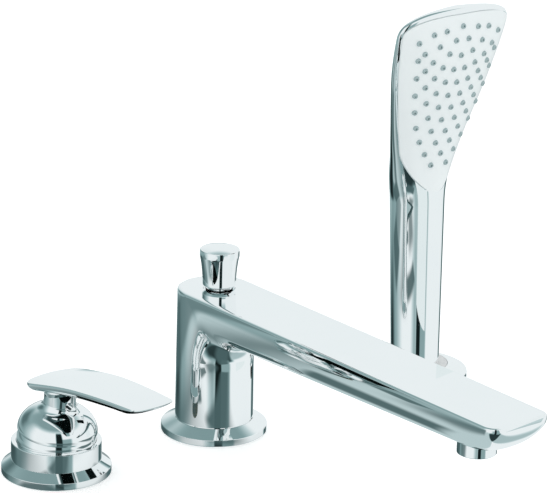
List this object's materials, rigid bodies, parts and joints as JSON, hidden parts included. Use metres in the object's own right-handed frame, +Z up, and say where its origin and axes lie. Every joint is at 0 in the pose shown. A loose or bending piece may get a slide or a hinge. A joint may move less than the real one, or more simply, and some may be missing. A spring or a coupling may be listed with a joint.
{
  "type": "bath shower mixer",
  "caption": "Deck-mounted bath mixer set: a single-lever valve, a flat-topped spout with a pull diverter, and a hand shower that stands in its holder.",
  "frame": {"origin": "on the axis of the spout column, at the surface of the deck that the rosettes stand on", "axes": "+Z up, the spout reaches towards -Y, the mixing valve stands at -X and the hand shower at +X"},
  "size_m": [0.3838, 0.3285, 0.3267],
  "materials": {
    "polished_chrome": "bright chrome plate on brass, mirror polished",
    "raw_brass": "turned brass, not plated",
    "black_rubber": "moulded black rubber",
    "plain_steel": "turned stainless steel",
    "ceramic": "lapped white ceramic",
    "inner_plastic": "moulded grey-white plastic",
    "white_plate": "glossy white plastic with a cool cast",
    "grey_silicone": "moulded grey silicone"
  },
  "bodies": {
    "root": {"mixer_rosette": "polished_chrome", "mixer_gasket": "black_rubber", "mixer_valve_body": "raw_brass", "mixer_sleeve": "polished_chrome", "mixer_dome": "polished_chrome", "cartridge_seals": "black_rubber", "cartridge_housing": "inner_plastic", "cartridge_nut": "raw_brass", "ceramic_fixed_disc": "ceramic", "mixer_deck_seal": "black_rubber", "mixer_deck_washer": "plain_steel", "mixer_fixing_nut": "raw_brass", "spout_rosette": "polished_chrome", "spout_gasket": "black_rubber", "spout_body": "polished_chrome", "spout_shank": "raw_brass", "diverter_cage": "raw_brass", "diverter_gland": "raw_brass", "diverter_o_ring": "black_rubber", "aerator_seal": "black_rubber", "aerator_insert": "inner_plastic", "aerator_housing": "polished_chrome", "spout_deck_seal": "black_rubber", "spout_deck_washer": "plain_steel", "spout_fixing_nut": "raw_brass", "shower_rosette": "polished_chrome", "shower_gasket": "black_rubber", "holder_shank": "raw_brass", "shower_deck_seal": "black_rubber", "shower_deck_washer": "plain_steel", "shower_fixing_nut": "raw_brass"},
    "lever_carrier": {"cartridge_carrier": "inner_plastic", "cartridge_pivot_pin": "plain_steel"},
    "lever": {"lever_handle": "polished_chrome", "cartridge_spindle": "plain_steel", "lever_grub_screw": "plain_steel"},
    "moving_disc": {"ceramic_moving_disc": "ceramic"},
    "diverter": {"diverter_knob": "polished_chrome", "diverter_rod": "plain_steel", "diverter_plunger": "raw_brass", "diverter_seals": "black_rubber", "diverter_spring": "plain_steel"},
    "holder": {"holder_insert": "inner_plastic"},
    "handset": {"handset_shell": "polished_chrome", "handset_face_plate": "white_plate", "handset_nozzles": "grey_silicone", "handset_waterway": "inner_plastic", "handset_connector": "polished_chrome", "handset_seal": "black_rubber"}
  },
  "joints": [
    {"name": "lever_turn", "type": "hinge", "parent": "root", "child": "lever_carrier", "pos_m": [-0.1258, 0, 0.02], "axis": [0, 0, 1], "range_deg": [-50, 50]},
    {"name": "lever_lift", "type": "hinge", "parent": "lever_carrier", "child": "lever", "pos_m": [-0.1258, 0, 0.02], "axis": [-1, 0, 0], "range_deg": [0, 22]},
    {"name": "disc_slide", "type": "slide", "parent": "lever_carrier", "child": "moving_disc", "axis": [0, -1, 0], "range_m": [0, 0.0031]},
    {"name": "diverter_pull", "type": "slide", "parent": "root", "child": "diverter", "axis": [0, 0, 1], "range_m": [0, 0.012], "stiffness_N_per_m": 120, "springref_m": -0.01, "deforming": ["diverter_spring"]},
    {"name": "handset_turn", "type": "hinge", "parent": "root", "child": "holder", "pos_m": [0.1755, 0, 0], "axis": [0, 0, 1], "range_deg": [-90, 90]},
    {"name": "handset_lift", "type": "slide", "parent": "holder", "child": "handset", "axis": [0, 0, 1], "range_m": [0, 0.12]}
  ],
  "couplings": [
    {"joint": "disc_slide", "follows": "lever_lift", "m_per_rad": 0.008}
  ]
}
